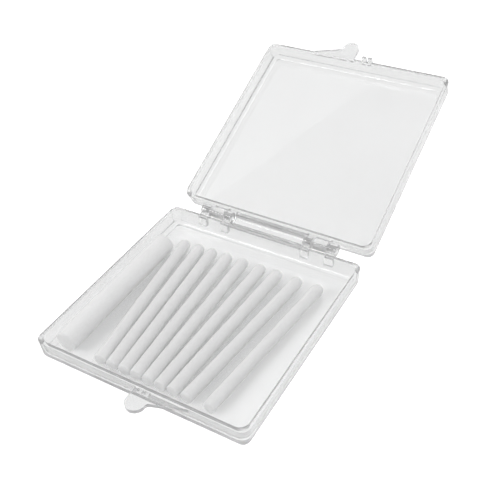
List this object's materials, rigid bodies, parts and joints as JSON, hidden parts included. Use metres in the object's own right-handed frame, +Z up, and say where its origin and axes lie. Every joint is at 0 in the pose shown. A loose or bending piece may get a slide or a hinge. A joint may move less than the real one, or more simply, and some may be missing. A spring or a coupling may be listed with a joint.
{
  "type": "ear wax cleaner",
  "caption": "Slim soft white swabs and one thick rod laid in a clear plastic case with a hinged lid and thumb tabs, shown open.",
  "frame": {"origin": "centre of the tray's flat underside", "axes": "+Z up out of the tray, +Y from the thumb tab towards the hinge and the open lid, +X along the hinge"},
  "size_m": [0.086, 0.1926, 0.0476],
  "materials": {
    "clear_case": "clear polished polystyrene",
    "soft_sleeve": "matte white bonded fibre",
    "stick": "matte white",
    "thick_rod": "matte white bonded fibre"
  },
  "bodies": {
    "tray": {"case_tray": "clear_case"},
    "lid": {"case_lid": "clear_case"},
    "thick_rod": {"thick_rod": "thick_rod"},
    "swab_1": {"swab_1": "soft_sleeve", "swab_stick_1": "stick"},
    "swab_2": {"swab_2": "soft_sleeve", "swab_stick_2": "stick"},
    "swab_3": {"swab_3": "soft_sleeve", "swab_stick_3": "stick"},
    "swab_4": {"swab_4": "soft_sleeve", "swab_stick_4": "stick"},
    "swab_5": {"swab_5": "soft_sleeve", "swab_stick_5": "stick"},
    "swab_6": {"swab_6": "soft_sleeve", "swab_stick_6": "stick"},
    "swab_7": {"swab_7": "soft_sleeve", "swab_stick_7": "stick"},
    "swab_8": {"swab_8": "soft_sleeve", "swab_stick_8": "stick"},
    "swab_9": {"swab_9": "soft_sleeve", "swab_stick_9": "stick"}
  },
  "joints": [
    {"name": "lid_hinge", "type": "hinge", "parent": "tray", "child": "lid", "pos_m": [0, 0.0475, 0.0079], "axis": [-1, 0, 0], "range_deg": [-156.5, 0]},
    {"name": "swab_1_lift", "type": "slide", "parent": "tray", "child": "swab_1", "axis": [0, 0, 1], "range_m": [0, 0.03]},
    {"name": "swab_2_lift", "type": "slide", "parent": "tray", "child": "swab_2", "axis": [0, 0, 1], "range_m": [0, 0.03]},
    {"name": "swab_3_lift", "type": "slide", "parent": "tray", "child": "swab_3", "axis": [0, 0, 1], "range_m": [0, 0.03]},
    {"name": "swab_4_lift", "type": "slide", "parent": "tray", "child": "swab_4", "axis": [0, 0, 1], "range_m": [0, 0.03]},
    {"name": "swab_5_lift", "type": "slide", "parent": "tray", "child": "swab_5", "axis": [0, 0, 1], "range_m": [0, 0.03]},
    {"name": "swab_6_lift", "type": "slide", "parent": "tray", "child": "swab_6", "axis": [0, 0, 1], "range_m": [0, 0.03]},
    {"name": "swab_7_lift", "type": "slide", "parent": "tray", "child": "swab_7", "axis": [0, 0, 1], "range_m": [0, 0.03]},
    {"name": "swab_8_lift", "type": "slide", "parent": "tray", "child": "swab_8", "axis": [0, 0, 1], "range_m": [0, 0.03]},
    {"name": "swab_9_lift", "type": "slide", "parent": "tray", "child": "swab_9", "axis": [0, 0, 1], "range_m": [0, 0.03]},
    {"name": "thick_rod_lift", "type": "slide", "parent": "tray", "child": "thick_rod", "axis": [0, 0, 1], "range_m": [0, 0.03]}
  ]
}
